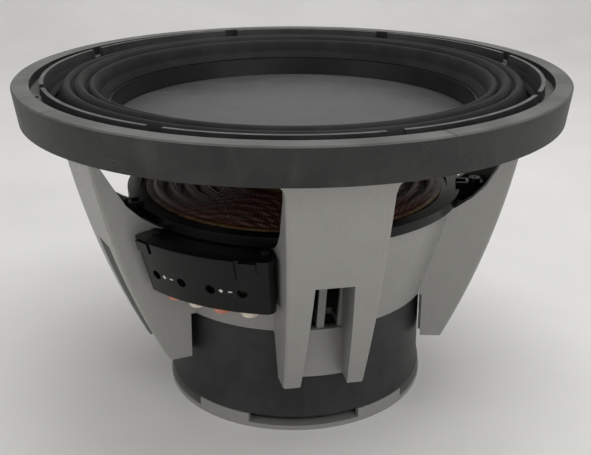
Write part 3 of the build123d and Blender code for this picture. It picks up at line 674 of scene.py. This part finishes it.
def make_camera():
    """Stands in front of the speaker, to the right and above, and looks a little past its axis."""
    data = bpy.data.cameras.new("camera")
    data.sensor_width = CAMERA_SENSOR
    data.lens = CAMERA_LENS
    data.shift_x = CAMERA_SHIFT
    camera = bpy.data.objects.new("camera", data)
    turn = Matrix.Rotation(math.radians(VIEW_AZIMUTH), 4, "Z")
    level = math.cos(CAMERA_PITCH)
    aside = math.sin(CAMERA_YAW) * level
    ahead = math.cos(CAMERA_YAW) * level
    forward = turn @ Vector((aside, ahead, -math.sin(CAMERA_PITCH)))
    camera.location = around_point(VIEW_AZIMUTH, CAMERA_DISTANCE, CAMERA_HEIGHT)
    camera.rotation_mode = "QUATERNION"
    facing = forward.to_track_quat("-Z", "Y")
    camera.rotation_quaternion = facing @ Matrix.Rotation(CAMERA_ROLL, 3, "Z").to_quaternion()
    bpy.context.scene.collection.objects.link(camera)
    bpy.context.scene.camera = camera


def area_light(name, place, aim, size, power):
    """A white rectangle of light that faces a point."""
    data = bpy.data.lights.new(name, "AREA")
    data.shape = "RECTANGLE"
    data.size, data.size_y = size
    data.energy = power
    light = bpy.data.objects.new(name, data)
    light.location = place
    light.rotation_mode = "QUATERNION"
    light.rotation_quaternion = (Vector(aim) - Vector(place)).to_track_quat("-Z", "Y")
    bpy.context.scene.collection.objects.link(light)


FLOOR_FRONT = -1.6
FLOOR_HALF_WIDTH = 2.4
FLOOR_GAP = 0.2 * MM        # between the speaker and the floor
BACKDROP_FOOT = 1.1         # where the floor starts to curve up
BACKDROP_CURVE = 0.5        # radius of that curve
BACKDROP_STEPS = 12
BACKDROP_TOP = 2.2
SKY_STRENGTH = 0.40
LIGHT_AIM = (0.0, 0.0, 0.12)


def make_studio(material):
    """Pale floor that curves up into a backdrop, a pale sky and three soft lights."""
    profile = [(FLOOR_FRONT, 0.0), (BACKDROP_FOOT, 0.0)]
    for i in range(BACKDROP_STEPS + 1):
        turn = math.pi / 2 * i / BACKDROP_STEPS
        depth = BACKDROP_FOOT + BACKDROP_CURVE * math.sin(turn)
        profile.append((depth, BACKDROP_CURVE * (1 - math.cos(turn))))
    profile.append((BACKDROP_FOOT + BACKDROP_CURVE, BACKDROP_TOP))
    vertices = []
    view_turn = Matrix.Rotation(math.radians(VIEW_AZIMUTH), 4, "Z")
    for side in (-FLOOR_HALF_WIDTH, FLOOR_HALF_WIDTH):
        for depth, height in profile:
            vertices.append(view_turn @ Vector((side, depth, height - FLOOR_GAP)))
    count = len(profile)
    faces = [(i, i + count, i + count + 1, i + 1) for i in range(count - 1)]
    floor = new_object("studio_floor", vertices, faces, material)
    world = bpy.data.worlds.new("studio")
    world.use_nodes = True
    sky = world.node_tree.nodes["Background"]
    sky.inputs["Color"].default_value = (1.0, 0.99, 0.965, 1.0)
    sky.inputs["Strength"].default_value = SKY_STRENGTH
    bpy.context.scene.world = world
    area_light("overhead", (0.1, 0.25, 1.35), LIGHT_AIM, (1.5, 1.1), 10.5)
    area_light("front_right", around_point(62.0, 1.3, 0.75), LIGHT_AIM, (0.9, 0.9), 4.8)
    area_light("front_left", around_point(-28.0, 1.3, 0.65), LIGHT_AIM, (0.9, 0.9), 3.0)
    bpy.context.scene.view_settings.view_transform = "Standard"


def build():
    screw_steel = metal("screw_steel", (0.16, 0.16, 0.155), (0.42, 0.42, 0.41), 0.35)
    copper = metal("bare_copper", (0.30, 0.12, 0.06), (0.68, 0.30, 0.16), 0.35)
    materials = {
        "cast_frame": cast_frame_paint(),
        "gasket_rubber": rim_rubber(),
        "clamp_plastic": clamp_plastic(),
        "surround_rubber": surround_rubber(),
        "spider_cloth": spider_cloth(),
        "black_plastic": black_plastic(),
        "screw_steel": screw_steel,
        "motor_steel": metal("motor_steel", (0.03, 0.03, 0.03), (0.07, 0.07, 0.07), 0.45, metallic=0.6),
        "ferrite": ferrite_black(),
        "copper": copper,
        "boot_rubber": boot_rubber(),
        "white_print": printed_white(),
        "cone_black": cone_black(),
        "cap_grey": cap_grey(),
        "former_film": former_film(),
        "button_red": button_plastic("button_red", (0.50, 0.15, 0.10), (0.66, 0.28, 0.21)),
        "button_cream": button_plastic("button_cream", (0.62, 0.56, 0.45), (0.76, 0.71, 0.60)),
    }
    give_materials(materials)
    black_steel = metal("blackened_steel", (0.012, 0.012, 0.012), (0.030, 0.030, 0.030), 0.35, metallic=0.5)
    for name in ("terminal_screws", "spider_ring_screws"):
        NODES[name].data.materials[0] = black_steel
    winding = wound_copper()
    for name in ("voice_coil_lower", "voice_coil_upper"):
        NODES[name].data.materials[0] = winding
    make_surround(materials["surround_rubber"])
    make_spider(materials["spider_cloth"])
    make_tinsel_leads(copper)
    make_button_springs(screw_steel)
    make_camera()
    make_studio(floor_paper())


build()
